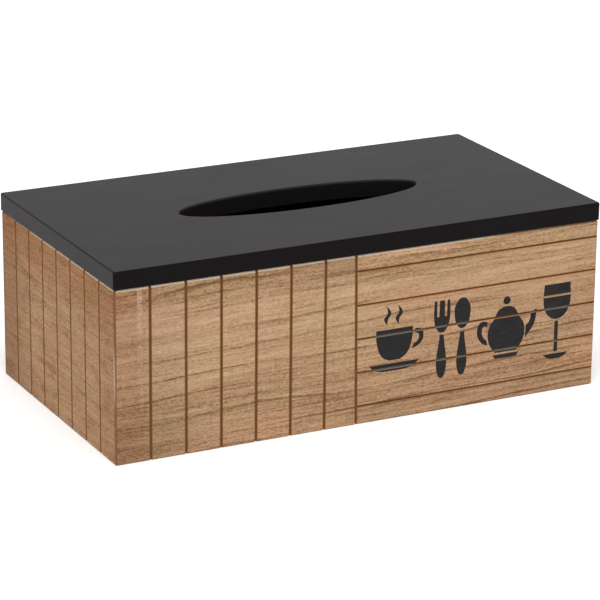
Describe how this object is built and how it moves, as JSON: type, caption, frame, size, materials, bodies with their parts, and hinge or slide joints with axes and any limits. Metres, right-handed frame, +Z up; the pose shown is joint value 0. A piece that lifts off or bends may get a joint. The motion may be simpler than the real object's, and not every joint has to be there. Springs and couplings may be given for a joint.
{
  "type": "napkin box",
  "caption": "Low wooden napkin box with mitred walls scored into narrow strips, a let-in base and a flat black lid with an oval slot that lifts off.",
  "frame": {"origin": "middle of the footprint, on the surface that the box stands on", "axes": "+X along the front from left to right, +Y from the front to the back, +Z up"},
  "size_m": [0.261, 0.141, 0.095],
  "materials": {
    "wall_wood": "open-grained light brown wood, matt, with darker scored lines",
    "base_sheet": "thin sheet, stained black",
    "spline_wood": "bare wood",
    "lid_lacquer": "satin black lacquer",
    "black_paint": "matt black paint",
    "screw_steel": "zinc plated"
  },
  "bodies": {
    "box": {"front_panel": "wall_wood", "back_panel": "wall_wood", "left_panel": "wall_wood", "right_panel": "wall_wood", "base_panel": "base_sheet", "corner_spline_front_left": "spline_wood", "corner_spline_front_right": "spline_wood", "corner_spline_back_left": "spline_wood", "corner_spline_back_right": "spline_wood"},
    "lid": {"lid_panel": "lid_lacquer", "lid_batten_front": "black_paint", "lid_batten_back": "black_paint", "lid_batten_left": "black_paint", "lid_batten_right": "black_paint", "batten_screws": "screw_steel"}
  },
  "joints": [
    {"name": "lid_lift", "type": "slide", "parent": "box", "child": "lid", "axis": [0, 0, 1], "range_m": [0, 0.12]}
  ]
}
